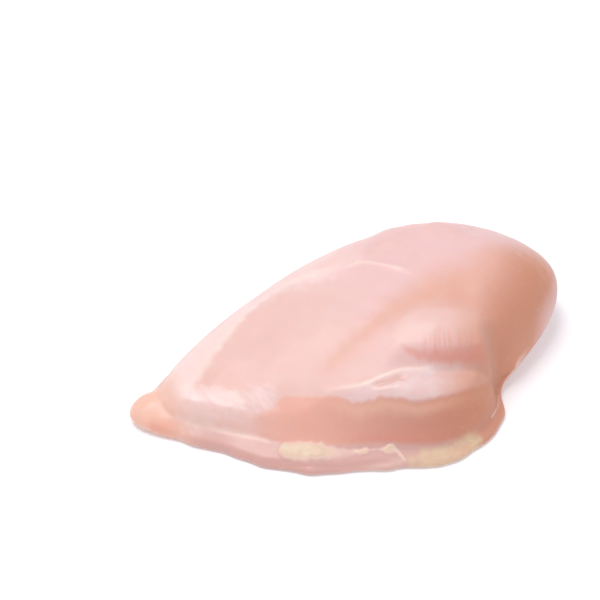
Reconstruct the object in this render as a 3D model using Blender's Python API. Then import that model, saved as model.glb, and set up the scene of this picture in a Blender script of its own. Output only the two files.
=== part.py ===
"""A raw, boneless and skinless chicken breast that lies with its smooth side up, as one closed solid.

The body is two square grids, an upper and a lower sheet, that are drawn over the breast's plan outline and
share its rim. The outline carries the rim's height, the thin lip of trimmed edge and the reach of the shoulder.
The crown adds the thickness of the muscle, and the creases and swellings are laid along short paths.
X runs from the thin tail to the thick shoulder end, -Y is the fatty outer edge and the floor is at Z = 0.
The origin is on the floor, in the middle of the outline's box.
"""

import math

import bmesh
import bpy
import numpy as np

# The driving dimension, in metres. The shape is set out in units of a 178th of it, a little under a millimetre.
BREAST_LENGTH = 0.170
UNIT = BREAST_LENGTH / 178

GRID_CELLS = 54                             # cells along one side of each sheet
OUTLINE_SAMPLES = 720
PROFILE_SAMPLES = 240
OUTLINE_ROUNDING = 2.2 * UNIT
CENTRE = np.array([5.0, 4.0]) * UNIT        # every section runs from the rim to this point

# The outline, anticlockwise from the tail tip, in units:
# x, y, rim height, lip width, height at the lip's root, reach of the shoulder, reach of the undercut.
STATIONS = {
    "tail knob, tip": (-89.5, 7.0, 3.8, 11, 8.0, 8, 4),
    "tail knob, outer side": (-85, 0.5, 3.4, 9.0, 7.5, 8, 4),
    "strip, narrow": (-77, -6, 2.8, 7.5, 6.5, 8, 4),
    "strip, middle": (-62, -18.5, 2.4, 8.0, 6.0, 8, 3),
    "strip, wide": (-48, -31, 1.8, 9.0, 6.0, 11, 3),
    "fat, thin end": (-34, -39, 1.8, 9.5, 6.0, 18, 3),
    "fat, middle": (-10, -45.5, 1.8, 7.5, 5.5, 13, 3),
    "fat, thick end": (12, -51, 1.8, 6.0, 4.5, 11, 3),
    "side muscle, corner": (28, -46.5, 1.8, 4.5, 4.5, 9, 3),
    "side muscle, end": (41, -36, 2.2, 3.0, 4.5, 9, 4),
    "notch": (45.5, -25, 3.0, 1.5, 5.0, 9, 6),
    "main lobe, foot": (56, -21, 7.0, 0.0, 7.5, 18, 10),
    "main lobe, outer side": (75, -8.5, 12.0, 0.0, 12.5, 28, 14),
    "main lobe, corner": (85.5, 5, 14.0, 0.0, 14.5, 34, 15),
    "shoulder end": (88.5, 18, 14.0, 0.0, 14.5, 38, 15),
    "shoulder, corner": (81.5, 32, 13.0, 0.0, 13.5, 36, 14),
    "shoulder, flap": (66, 45, 12.0, 0.0, 12.5, 32, 13),
    "keel, thick end": (46, 54.5, 11.0, 0.0, 11.5, 34, 12),
    "keel, shoulder third": (22, 57, 10.0, 0.0, 10.5, 34, 12),
    "keel, middle": (-7, 54, 9.0, 0.0, 9.5, 32, 11),
    "keel, tail third": (-36, 43, 7.5, 0.0, 8.0, 27, 10),
    "keel, thin end": (-57, 32.5, 5.5, 0.5, 6.0, 20, 8),
    "tail, keel side": (-72, 21.5, 4.5, 2.0, 6.0, 12, 6),
    "tail knob, root": (-78.5, 15.8, 4.0, 4.0, 6.5, 8, 5),
    "tail knob, keel side": (-84.5, 14.7, 4.0, 8.0, 7.5, 8, 4),
    "tail knob, corner": (-89.0, 12.0, 3.8, 11, 8.0, 8, 4),
}

# The crest of the muscle along X, in units: x, its y, its height and the fall over the NEAR_REACH beside it.
CREST = [(-95, 8, 9, 25), (-78, 8, 12, 32), (-58, 10, 17, 34), (-30, 14, 24, 18), (0, 17, 31.5, 10.5),
         (30, 18, 37.5, 11.0), (58, 17, 39, 12.0), (95, 17, 33, 12.0)]
NEAR_REACH = 50 * UNIT
WALL_SLANT = 0.7                            # share of a slanted wall, where a lip runs along its foot
FULL_LIP = 8.0 * UNIT

# The step from the main lobe down to the side muscle, from the notch inwards, in units.
STEP_PATH = [(54, -27), (46, -28), (40, -28), (32, -26.5), (21, -24), (10, -20), (4, -17), (-2, -14)]
STEP_DROP = 4.6 * UNIT                      # at the inner part of the path
NOTCH_DROP = 9.0 * UNIT                     # what the notch adds to it
STEP_WIDTH = 1.8 * UNIT
STEP_GROOVE = 0.8 * UNIT
STEP_FADE = 0.5                             # share of the path from which the step fades out
STEP_REACH = 40 * UNIT                      # how far out the side muscle stays lower

# The lumps of fat along the lip's root: x, half length and height, in units.
FAT_LUMPS = [(-34, 6, 2.1), (-22, 6, 1.8), (-9, 5, 1.1), (10, 3, 1.3), (26, 9, 0.9)]
FAT_WIDTH = 2.4 * UNIT

# The waves of the trimmed edge: height in units, waves in one turn and phase.
EDGE_WAVES = [(0.45, 19, 0.4), (0.35, 31, 2.1), (0.25, 47, 4.0)]

# The shallow bed on the underside that the inner fillet left, as a swelling below, and what is cut off its foot.
FILLET_BED = (2, 12, 52, 13, 10, 3.2)
BED_CUT = 0.8 * UNIT

# Swellings and hollows: x, y, half length, half width, turn in degrees and height, in units.
SWELLINGS = {
    "main lobe": (60, 8, 26, 18, 20, 1.8),
    "lobe's near brow": (28, -16, 22, 8, -14, 2.0),
    "side muscle": (10, -33, 32, 6, -12, 2.6),
    "shoulder flap": (62, 44, 9, 5, -30, 1.2),
    "keel ridge": (3, 38, 16, 8, 20, 2.4),
    "keel band hollow": (-12, 27, 34, 5, 24, -0.7),
    "tendon": (19, 21, 9, 1.8, -48, 0.7),
    "tail knob": (-84, 8, 5, 6, 0, 1.0),
    "tail knob's crease": (-76.5, 9, 2.0, 7, 12, -1.5),
}


def smooth_path(points, samples=60):
    """An open smooth curve through points in units, as points in metres."""
    p = np.array(points, float) * UNIT
    p = np.concatenate([[2 * p[0] - p[1]], p, [2 * p[-1] - p[-2]]])
    t = np.linspace(0, len(p) - 3 - 1e-9, samples)
    return catmull_rom(p, t.astype(int) + 1, t % 1)


def catmull_rom(p, i, f):
    """Points on the curve through p, at the shares f of the spans that start at the indices i."""
    a, b, c, d = (p[(i + step) % len(p)] for step in (-1, 0, 1, 2))
    f = f[:, None]
    return 0.5 * (2 * b + (c - a) * f + (2 * a - 5 * b + 4 * c - d) * f**2 + (3 * b - a - 3 * c + d) * f**3)


def outline():
    """The rim's stations as one smooth closed curve, at equal steps of length."""
    rows = np.array(list(STATIONS.values()), float) * UNIT
    u = np.linspace(0, len(rows), OUTLINE_SAMPLES * 4, endpoint=False)
    curve = catmull_rom(rows, u.astype(int), u % 1)
    steps = np.linalg.norm(np.roll(curve, -1, 0)[:, :2] - curve[:, :2], axis=1)
    walked = np.concatenate([[0], np.cumsum(steps)])
    closed = np.concatenate([curve, curve[:1]])
    even = np.linspace(0, walked[-1], OUTLINE_SAMPLES, endpoint=False)
    curve = np.stack([np.interp(even, walked, column) for column in closed.T], 1)
    turn = np.linspace(0, 2 * math.pi, OUTLINE_SAMPLES, endpoint=False)
    ripple = sum(height * UNIT * np.sin(count * turn + phase) for height, count, phase in EDGE_WAVES)
    out = curve[:, :2] - CENTRE
    out /= np.linalg.norm(out, axis=1)[:, None]
    ripple *= np.clip(curve[:, 3] / FULL_LIP, 0, 1)
    curve[:, :2] += out * ripple[:, None]
    curve[:, 3] += ripple                   # so that the wall's foot stays smooth
    waves = 2 * math.pi * np.fft.rfftfreq(OUTLINE_SAMPLES, walked[-1] / OUTLINE_SAMPLES)
    soften = np.exp(-0.5 * (waves * OUTLINE_ROUNDING) ** 2)[:, None]
    return np.fft.irfft(np.fft.rfft(curve, axis=0) * soften, OUTLINE_SAMPLES, axis=0)


def around(curve, turn):
    """The outline's row at each share of a full turn."""
    u = (turn % 1) * len(curve)
    i = u.astype(int)
    return catmull_rom(curve, i, u - i)


def along_path(x, y, path):
    """Each place's distance from a path, positive on its left, and its share of the path's length."""
    start, end = path[:-1], path[1:]
    run = end - start
    length = np.linalg.norm(run, axis=1)
    away = np.stack([x, y], -1)[..., None, :] - start
    share = np.clip((away * run).sum(-1) / length**2, 0, 1)
    gap = np.linalg.norm(away - share[..., None] * run, axis=-1)
    best = gap.argmin(-1)[..., None]
    cross = run[:, 0] * away[..., 1] - run[:, 1] * away[..., 0]
    walked = np.concatenate([[0], np.cumsum(length)])
    place = walked[best] + np.take_along_axis(share, best, -1) * length[best]
    side = np.sign(np.take_along_axis(cross, best, -1))
    return (side * np.take_along_axis(gap, best, -1))[..., 0], place[..., 0] / walked[-1]


def smooth_step(value):
    """0 up to 0, 1 from 1, and an S between them."""
    value = np.clip(value, 0, 1)
    return value * value * (3 - 2 * value)


def side_step(x, y):
    """The drop from the main lobe to the side muscle, with a groove at its foot, fading out inwards."""
    gap, share = along_path(x, y, smooth_path(STEP_PATH, 24))
    fade = 1 - smooth_step((share - STEP_FADE) / (1 - STEP_FADE))
    spread = STEP_WIDTH * (1 + share)
    drop = smooth_step(0.5 + gap / spread / 2) * np.exp(-np.clip(gap, 0, None) / STEP_REACH)
    groove = np.exp(-(((gap - spread * 0.7) / spread) ** 2))
    depth = STEP_DROP + NOTCH_DROP * (1 - share) ** 3
    return -fade * (depth * drop + STEP_GROOVE * groove)


def swelling(x, y, centre_x, centre_y, length, width, turn, height):
    """One rise, or hollow where its height is negative, with soft sides."""
    cos, sin = math.cos(math.radians(turn)), math.sin(math.radians(turn))
    over, up = x - centre_x * UNIT, y - centre_y * UNIT
    ahead, across = cos * over + sin * up, cos * up - sin * over
    return height * UNIT * np.exp(-((ahead / (length * UNIT)) ** 2) - (across / (width * UNIT)) ** 2)


def crown(x, y):
    """The height of the muscle above the floor, before its sides are rounded off."""
    crest = smooth_path(CREST)
    crest_y, height, fall = (np.interp(x, crest[:, 0], column) for column in crest.T[1:])
    near = np.clip(crest_y - y, 0, None) / NEAR_REACH
    return height - fall * near**2 + side_step(x, y) + sum(swelling(x, y, *one) for one in SWELLINGS.values())


def quarter_round(share):
    """A quarter circle from 0, where it stands upright, to 1, where it lies level."""
    left = 1 - np.clip(share, 0, 1)
    return np.sqrt(1 - left**2)


def fat_lumps(x, y, inset, lip):
    """The fat on the outer edge: a row of lumps just inside the lip's root, nothing at the rim."""
    lumps = sum(height * UNIT * np.exp(-(((x / UNIT - place) / length) ** 2)) for place, length, height in FAT_LUMPS)
    across = np.exp(-(((inset - lip + FAT_WIDTH / 2) / FAT_WIDTH) ** 2)) * np.clip(inset / lip, 0, 1)
    return lumps * across * (y < 0)


def top_height(x, y, inset, row):
    """The upper sheet: the lip's edge and top, then the wall and shoulder up to the crown."""
    rim, lip, root, shoulder = row[..., 2], row[..., 3], row[..., 4], row[..., 5]
    lip = np.clip(lip, 1e-5, None)
    on_lip = rim + (root - rim) * quarter_round(inset / lip)
    share = np.clip((inset - lip) / shoulder, 0, 1)
    slant = WALL_SLANT * smooth_step(lip / FULL_LIP)
    rise = (1 - slant) * quarter_round(share) + slant * share * (2 - share)
    return on_lip + (crown(x, y) - root) * rise + fat_lumps(x, y, inset, lip)


def under_height(x, y, inset, row):
    """The lower sheet: level where it lies on the floor, rising to the rim."""
    bed = np.clip(swelling(x, y, *FILLET_BED) - BED_CUT, 0, None)
    return row[..., 2] * (1 - quarter_round(inset / row[..., 6])) + bed


def square_to_disc(u, v):
    """A square's coordinates from -1 to 1, as a radius from 0 to 1 and a share of a full turn."""
    wide = np.abs(u) >= np.abs(v)
    radius = np.where(wide, np.abs(u), np.abs(v))
    safe = np.where(radius == 0, 1, np.where(wide, u, v))
    eighth = np.where(wide, v, u) / safe / 8
    turn = np.where(wide, eighth + (u < 0) / 2, 0.25 - eighth + (v < 0) / 2)
    return radius, turn % 1


def insets_by_length(curve, height):
    """For each section, the share of the way to the centre at equal steps along the sheet."""
    span = np.linalg.norm(curve[:, :2] - CENTRE, axis=1)[:, None]
    share = np.linspace(0, 1, PROFILE_SAMPLES)[None, :] ** 1.5
    inset = span * share
    place = curve[:, None, :2] + (CENTRE - curve[:, None, :2]) * share[..., None]
    z = height(place[..., 0], place[..., 1], inset, curve[:, None, :])
    step = np.hypot(np.diff(inset, axis=1), np.diff(z, axis=1))
    walked = np.concatenate([np.zeros((len(curve), 1)), np.cumsum(step, 1)], 1)
    walked /= walked[:, -1:]
    even = np.linspace(0, 1, PROFILE_SAMPLES)
    return np.stack([np.interp(even, w, s) for w, s in zip(walked, inset / span)])


def sheet_points(u, v, curve, height):
    """Places on a sheet for the square coordinates u and v."""
    radius, turn = square_to_disc(u, v)
    table = insets_by_length(curve, height)
    column = (1 - radius) * (PROFILE_SAMPLES - 1)
    line = turn * len(curve)
    i, j = line.astype(int) % len(curve), np.minimum(column.astype(int), PROFILE_SAMPLES - 2)
    a, b = line - line.astype(int), column - j
    share = (1 - a) * ((1 - b) * table[i, j] + b * table[i, j + 1])
    k = (i + 1) % len(curve)
    share += a * ((1 - b) * table[k, j] + b * table[k, j + 1])
    row = around(curve, turn)
    place = row[:, :2] + (CENTRE - row[:, :2]) * share[:, None]
    inset = np.linalg.norm(row[:, :2] - CENTRE, axis=1) * share
    middle = (curve[:, :2].min(0) + curve[:, :2].max(0)) / 2
    return np.column_stack([place - middle, height(place[:, 0], place[:, 1], inset, row)])


def add_sheet(bm, curve, height, upward):
    """A grid primitive moved onto a sheet, its faces turned up or down."""
    made = bmesh.ops.create_grid(bm, x_segments=GRID_CELLS, y_segments=GRID_CELLS, size=1)["verts"]
    flat = np.array([vert.co for vert in made])
    for vert, place in zip(made, sheet_points(flat[:, 0], flat[:, 1], curve, height)):
        vert.co = place
    if not upward:
        faces = {face for vert in made for face in vert.link_faces}
        bmesh.ops.reverse_faces(bm, faces=list(faces))


def flesh():
    """Pale pink raw flesh, wet."""
    material = bpy.data.materials.new("raw_flesh")
    material.use_nodes = True
    shader = material.node_tree.nodes["Principled BSDF"]
    shader.inputs["Base Color"].default_value = (0.83, 0.52, 0.44, 1)
    shader.inputs["Roughness"].default_value = 0.3
    return material


def breast(collection):
    """The whole breast: both sheets, joined along their shared rim."""
    curve = outline()
    bm = bmesh.new()
    add_sheet(bm, curve, top_height, True)
    add_sheet(bm, curve, under_height, False)
    bmesh.ops.remove_doubles(bm, verts=bm.verts, dist=1e-6)
    bmesh.ops.triangulate(bm, faces=bm.faces, quad_method="SHORT_EDGE")
    mesh = bpy.data.meshes.new("breast")
    bm.to_mesh(mesh)
    bm.free()
    mesh.materials.append(flesh())
    mesh.shade_smooth()
    collection.objects.link(bpy.data.objects.new("breast", mesh))


def main():
    for old in list(bpy.data.objects):
        bpy.data.objects.remove(old)
    collection = bpy.data.collections.new("chicken_breast")
    bpy.context.scene.collection.children.link(collection)
    breast(collection)


main()
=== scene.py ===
# %% [markdown]
# # A raw chicken breast, wet and pale
# A skinless breast half looks simple and is hard to make: it is one soft shape, its colour hardly
# changes, and nearly all that the eye reads is light on a wet film. So this lesson spends its effort on
# three things: a form with the true folds and edges, thin differences in colour that are worked out
# from the form itself, and one large soft light overhead. The solid part is loaded first, because the
# looks have to stay inside it.

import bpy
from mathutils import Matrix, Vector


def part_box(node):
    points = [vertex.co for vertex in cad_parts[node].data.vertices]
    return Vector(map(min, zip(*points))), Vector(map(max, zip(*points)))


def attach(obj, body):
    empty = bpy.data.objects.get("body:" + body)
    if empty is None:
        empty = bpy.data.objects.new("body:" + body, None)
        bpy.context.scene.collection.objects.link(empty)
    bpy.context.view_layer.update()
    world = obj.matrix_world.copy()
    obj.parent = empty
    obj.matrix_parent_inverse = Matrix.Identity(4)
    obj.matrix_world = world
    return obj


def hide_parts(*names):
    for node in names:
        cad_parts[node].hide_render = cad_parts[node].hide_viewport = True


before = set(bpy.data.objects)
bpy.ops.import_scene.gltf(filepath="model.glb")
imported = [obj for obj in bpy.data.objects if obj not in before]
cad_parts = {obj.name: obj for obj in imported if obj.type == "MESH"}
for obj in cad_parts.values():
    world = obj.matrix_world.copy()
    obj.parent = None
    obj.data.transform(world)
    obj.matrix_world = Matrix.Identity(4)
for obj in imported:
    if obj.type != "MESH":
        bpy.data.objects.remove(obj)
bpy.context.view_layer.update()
print("The part's solids:", sorted(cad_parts))

# %% Measure it
import math

import bmesh
import bpy
import numpy as np
from mathutils import Vector

LOW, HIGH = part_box("breast")
LENGTH = HIGH.x - LOW.x
print("The breast is", [round(1000 * side, 1) for side in HIGH - LOW], "mm")

# %% [markdown]
# ## The outline
# Seen from above, the breast is a leaf with a notch on one side. It could be drawn as a curve object,
# but the rim also changes its height and its thickness on the way round. So each station of the outline
# holds seven numbers, and one smooth curve is drawn through all seven at once. The lengths are in units
# of about a millimetre; the size of a unit comes from the loaded part, so that looks and part can't
# drift apart.

# %% The stations of the rim
# x, y, rim height, lip width, height at the lip's root, reach of the shoulder, reach of the undercut.
STATIONS = {
    "tail knob, tip": (-89.5, 7.0, 3.8, 11, 8.0, 8, 4),
    "tail knob, outer side": (-85, 0.5, 3.4, 9.0, 7.5, 8, 4),
    "strip, narrow": (-77, -6, 1.8, 7.5, 6.5, 8, 4),
    "strip, middle": (-62, -18.5, 1.3, 8.0, 6.0, 8, 3),
    "strip, wide": (-48, -31, 1.1, 9.0, 6.0, 11, 3),
    "fat, thin end": (-34, -39, 1.1, 9.5, 6.0, 18, 3),
    "fat, middle": (-10, -45.5, 1.1, 7.5, 5.5, 13, 3),
    "fat, thick end": (12, -51, 1.1, 6.0, 4.5, 11, 3),
    "side muscle, corner": (29, -47, 1.1, 4.5, 4.5, 9, 3),
    "side muscle, end": (43, -37, 1.4, 5.0, 4.5, 9, 4),
    "notch": (46.4, -25.4, 3.0, 3.4, 5.0, 9, 6),
    "main lobe, foot": (55.3, -20.3, 7.0, 0.0, 7.5, 18, 10),
    "main lobe, outer side": (74.2, -7.6, 12.0, 0.0, 12.5, 28, 14),
    "main lobe, corner": (85.5, 5, 14.0, 0.0, 14.5, 34, 15),
    "shoulder end": (88.5, 18, 14.0, 0.0, 14.5, 38, 15),
    "shoulder, corner": (81.5, 32, 13.0, 0.0, 13.5, 36, 14),
    "shoulder, flap": (66, 45, 12.0, 0.0, 12.5, 32, 13),
    "keel, thick end": (46, 54.5, 11.0, 0.0, 11.5, 34, 12),
    "keel, shoulder third": (22, 57, 10.0, 0.0, 10.5, 34, 12),
    "keel, middle": (-7, 54, 9.0, 0.0, 9.5, 32, 11),
    "keel, tail third": (-36, 43, 7.5, 0.0, 8.0, 27, 10),
    "keel, thin end": (-57, 32.5, 5.5, 0.5, 6.0, 20, 8),
    "tail, keel side": (-72.6, 22.0, 4.7, 2.0, 6.2, 12, 6),
    "tail knob, root": (-79.0, 16.4, 4.4, 4.0, 6.8, 8, 5),
    "tail knob, keel side": (-84.5, 15.4, 4.6, 8.0, 7.8, 8, 4),
    "tail knob, corner": (-88.9, 12.6, 4.4, 11, 8.2, 8, 4),
}
RIM_HEIGHT, LIP, ROOT, SHOULDER, UNDERCUT = 2, 3, 4, 5, 6     # the columns after x and y
print("The rim has", len(STATIONS), "stations")

# %% [markdown]
# ## A curve through points
# The curve has to pass through every station, so that a number stays where it was measured. A Bezier
# curve needs handles and a B-spline misses its points. A Catmull-Rom curve passes through them and
# needs nothing else, and it doesn't mind whether a point has two numbers or seven.


# %% Smooth curves
def catmull_rom(p, i, f):
    """Points on the curve through p, at the shares f of the spans that start at the indices i."""
    a, b, c, d = (p[(i + step) % len(p)] for step in (-1, 0, 1, 2))
    f = f[:, None]
    square, cube = 2 * a - 5 * b + 4 * c - d, 3 * b - a - 3 * c + d
    return 0.5 * (2 * b + (c - a) * f + square * f**2 + cube * f**3)


def smooth_path(points, samples=60):
    """An open smooth curve through points."""
    p = np.array(points, float)
    p = np.concatenate([[2 * p[0] - p[1]], p, [2 * p[-1] - p[-2]]])
    t = np.linspace(0, len(p) - 3 - 1e-9, samples)
    return catmull_rom(p, t.astype(int) + 1, t % 1)


arch = smooth_path([(0, 0), (1, 1), (2, 0)], 5)
print("An arch through three points, at five places:", arch.round(2).tolist())

# %% [markdown]
# ## Once round the rim
# Stations lie at uneven distances, so the curve is walked once and read again at equal steps. A cut
# edge is never quite even: the thin lip gets a small ripple, and none where there is no lip. Last,
# bends that are tighter than flesh can hold are rounded by damping the short waves of the closed curve,
# which leaves the long ones alone.

# %% Walk, ripple and round
CENTRE = np.array([5.0, 4.0])               # every section runs from the rim to this point
OUTLINE_SAMPLES = 720
OUTLINE_ROUNDING = 2.2
FULL_LIP = 8.0
EDGE_WAVES = [(0.45, 19, 0.4), (0.35, 31, 2.1), (0.25, 47, 4.0)]     # height, waves in one turn, phase


def walk_evenly(curve, samples):
    """A closed curve's points at equal steps of length in the plan, and that length."""
    steps = np.linalg.norm(np.roll(curve, -1, 0)[:, :2] - curve[:, :2], axis=1)
    walked = np.concatenate([[0], np.cumsum(steps)])
    closed = np.concatenate([curve, curve[:1]])
    even = np.linspace(0, walked[-1], samples, endpoint=False)
    return np.stack([np.interp(even, walked, column) for column in closed.T], 1), walked[-1]


def add_ripple(curve):
    """Moves the lip's edge a little out and in, the more the wider the lip is."""
    turn = np.linspace(0, 2 * math.pi, len(curve), endpoint=False)
    ripple = sum(height * np.sin(count * turn + phase) for height, count, phase in EDGE_WAVES)
    ripple *= np.clip(curve[:, LIP] / FULL_LIP, 0, 1)
    out = curve[:, :2] - CENTRE
    out /= np.linalg.norm(out, axis=1)[:, None]
    curve[:, :2] += out * ripple[:, None]
    curve[:, LIP] += ripple


def rounded(curve, length):
    """The closed curve without the waves that are shorter than the rounding."""
    waves = 2 * math.pi * np.fft.rfftfreq(len(curve), length / len(curve))
    soften = np.exp(-0.5 * (waves * OUTLINE_ROUNDING) ** 2)[:, None]
    return np.fft.irfft(np.fft.rfft(curve, axis=0) * soften, len(curve), axis=0)


rows = np.array(list(STATIONS.values()), float)
turns = np.linspace(0, len(rows), OUTLINE_SAMPLES * 4, endpoint=False)
RIM, around = walk_evenly(catmull_rom(rows, turns.astype(int), turns % 1), OUTLINE_SAMPLES)
add_ripple(RIM)
RIM = rounded(RIM, around)
print("Once round the rim is", round(float(around), 1), "units, in", len(RIM), "steps")

# %% The size of a unit
MIDDLE = (RIM[:, :2].min(0) + RIM[:, :2].max(0)) / 2
UNIT = LENGTH / np.ptp(RIM[:, 0])
print("One unit is", round(UNIT * 1000, 4), "mm")

# %% [markdown]
# ## The camera
# The photograph was taken from a little above and well back, with a long lens, so near and far edges
# keep almost the same scale. The camera stands at that angle, and it comes before the shape. It comes
# before the shape, because every comparison is made through it. The aim point lies behind the breast:
# in the picture the breast sits low and to the right.

# %% Stand the camera up
AZIMUTH = math.radians(-20)
ELEVATION = math.radians(42)
DISTANCE = 550                              # in units
AIM = (-6.7, 51.6)                          # in units, in the outline's own frame
LENS = 80                                   # in mm, for a sensor of SENSOR mm
SENSOR = 36


def put_in_scene(name, data):
    """A new object that holds this data, in the scene."""
    thing = bpy.data.objects.new(name, data)
    bpy.context.scene.collection.objects.link(thing)
    return thing


flat = math.cos(ELEVATION)
back = Vector((math.sin(AZIMUTH) * flat, -math.cos(AZIMUTH) * flat, math.sin(ELEVATION)))
aim = Vector(((AIM[0] - MIDDLE[0]) * UNIT, (AIM[1] - MIDDLE[1]) * UNIT, 0))
camera = put_in_scene("camera", bpy.data.cameras.new("camera"))
camera.data.lens = LENS
camera.data.sensor_width = SENSOR
camera.location = aim + back * DISTANCE * UNIT
camera.rotation_euler = back.to_track_quat("Z", "Y").to_euler()
bpy.context.scene.camera = camera
print("The camera stands", round(camera.location.length, 3), "m from the breast")

# %% [markdown]
# ## Distance from a path
# Nearly every detail of this breast runs along a line: the step, the fat, the edge of a film. So one
# tool matters more than all others. It says how far each place is from a path, on which side, and how
# far along. Curve objects and proximity nodes could measure that too, but plain arrays do it for a
# whole surface at once.


# %% Measure from a path
def along_path(x, y, path):
    """Each place's distance from a path, positive on its left, and its share of the path's length."""
    start, end = path[:-1], path[1:]
    run = end - start
    length = np.linalg.norm(run, axis=1)
    away = np.stack([x, y], -1)[..., None, :] - start
    share = np.clip((away * run).sum(-1) / length**2, 0, 1)
    gap = np.linalg.norm(away - share[..., None] * run, axis=-1)
    best = gap.argmin(-1)[..., None]
    cross = run[:, 0] * away[..., 1] - run[:, 1] * away[..., 0]
    walked = np.concatenate([[0], np.cumsum(length)])
    place = walked[best] + np.take_along_axis(share, best, -1) * length[best]
    side = np.sign(np.take_along_axis(cross, best, -1))
    return (side * np.take_along_axis(gap, best, -1))[..., 0], place[..., 0] / walked[-1]


gap, share = along_path(np.array(5.0), np.array(2.0), np.array([(0.0, 0.0), (10.0, 0.0)]))
print("Off a path of 10, the place (5, 2) lies", float(gap), "to the left, at the share", float(share))


# %% Soft borders
def smooth_step(value):
    """0 up to 0, 1 from 1, and an S between them."""
    value = np.clip(value, 0, 1)
    return value * value * (3 - 2 * value)


def ramp(value, start, end):
    """0 at the start, 1 at the end and an S between them. The start may be the larger one."""
    return smooth_step((value - start) / (end - start))


def bell(gap, width):
    """1 where the gap is 0, falling off on both sides over the width."""
    return np.exp(-((gap / width) ** 2))


print("A third of the way up a ramp:", round(float(ramp(1.0, 0.0, 3.0)), 3))

# %% [markdown]
# ## The main form
# The muscle could be sculpted, but then nobody could change it later. Here the upper side is a height
# over every point of the plan: a crest that climbs from the tail to the shoulder, minus a fall towards
# the near side, minus the step down to the side muscle, plus a few soft swellings. Near the rim the
# height is rounded off: a quarter circle where the flesh turns under, and a steeper wall where a thin
# trimmed lip runs along its foot.

# %% The crest and the step
# The crest along X: x, its y, its height and the fall over the NEAR_REACH beside it.
CREST = [(-95, 8, 9, 25), (-78, 8, 12, 32), (-58, 10, 17, 34), (-30, 14, 24, 18), (0, 17, 31.5, 10.5),
         (30, 18, 37.5, 11.0), (58, 17, 39, 12.0), (95, 17, 33, 12.0)]
NEAR_REACH = 50
STEP_PATH = [(54, -27), (46, -28), (40, -28), (32, -26.5), (21, -24), (10, -20), (4, -17), (-2, -14)]
STEP_DROP = 4.6
NOTCH_DROP = 9.0                            # what the step gains where it ends in the notch
STEP_WIDTH = 1.8
STEP_GROOVE = 0.8
GROOVE_PLACE = 0.7                          # in widths of the step, past its middle
STEP_FADE = 0.5                             # the share of the path from which the step fades out
STEP_REACH = 40


def side_step(x, y):
    """The drop from the main lobe to the side muscle, with a groove at its foot, fading out inwards."""
    gap, share = along_path(x, y, smooth_path(STEP_PATH, 24))
    spread = STEP_WIDTH * (1 + share)
    drop = smooth_step(0.5 + gap / spread / 2) * np.exp(-np.clip(gap, 0, None) / STEP_REACH)
    depth = STEP_DROP + NOTCH_DROP * (1 - share) ** 3
    groove = STEP_GROOVE * bell(gap - spread * GROOVE_PLACE, spread)
    return -(1 - ramp(share, STEP_FADE, 1)) * (depth * drop + groove)


near_notch = float(side_step(np.array(44.0), np.array(-32.0)))
print("Beside the notch the step drops", round(-near_notch, 1), "units")

# %% The swellings
# Swellings and hollows: x, y, half length, half width, turn in degrees and height.
SWELLINGS = {
    "main lobe": (60, 8, 26, 18, 20, 1.8),
    "lobe's near brow": (28, -16, 22, 8, -14, 2.0),
    "side muscle": (10, -33, 32, 6, -12, 2.6),
    "shoulder flap": (62, 44, 9, 5, -30, 1.2),
    "keel ridge": (3, 38, 16, 8, 20, 2.4),
    "keel band hollow": (-12, 27, 34, 5, 24, -0.7),
    "tendon": (19, 21, 9, 1.8, -48, 0.7),
    "flap, tail side": (29, 45, 6, 6, -20, 1.2),
    "flap, shoulder side": (46, 35.5, 7, 5, -35, 1.0),
    "dip behind the flap": (57, 27, 4, 4, 0, -0.5),
    "tail knob's crease": (-76.5, 9, 2.0, 7, 12, -1.5),
}


def swelling(x, y, centre_x, centre_y, length, width, turn, height):
    """One rise, or hollow where its height is negative, with soft sides."""
    cos, sin = math.cos(math.radians(turn)), math.sin(math.radians(turn))
    ahead = cos * (x - centre_x) + sin * (y - centre_y)
    across = cos * (y - centre_y) - sin * (x - centre_x)
    return height * np.exp(-((ahead / length) ** 2) - (across / width) ** 2)


def crown(x, y):
    """The height of the muscle above the floor, before its sides are rounded off."""
    crest = smooth_path(CREST)
    crest_y, height, fall = (np.interp(x, crest[:, 0], column) for column in crest.T[1:])
    near = np.clip(crest_y - y, 0, None) / NEAR_REACH
    swollen = sum(swelling(x, y, *one) for one in SWELLINGS.values())
    return height - fall * near**2 + side_step(x, y) + swollen


shoulder_top = float(crown(np.array(50.0), np.array(17.0)))
print("The crown is", round(shoulder_top * UNIT * 1000, 1), "mm high at the shoulder")

# %% Round off the upper side
WALL_SLANT = 0.7                            # how far the wall leans back where the lip has its full width
LIP_EDGE = 0.3                              # the share of the lip's width over which its edge is rounded
LIP_ROUND = 0.45                            # the share of the lip's rise that this rounding takes
CORNER_BEND = 0.6                           # softens the corner where the wall stands on the lip


def quarter_round(share):
    """A quarter circle from 0, where it stands upright, to 1, where it lies level."""
    left = 1 - np.clip(share, 0, 1)
    return np.sqrt(1 - left**2)


def past_corner(gap, lip):
    """The distance past the corner between lip and wall, bent so that the corner gets a fillet."""
    bent = CORNER_BEND * (np.clip(gap + 3 * CORNER_BEND, 0, None) / 4 / CORNER_BEND) ** 4
    bent = np.where(gap > CORNER_BEND, gap, bent)
    share = smooth_step((lip - 3 * CORNER_BEND) / 2.5)
    return share * bent + (1 - share) * np.clip(gap, 0, None)


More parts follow.
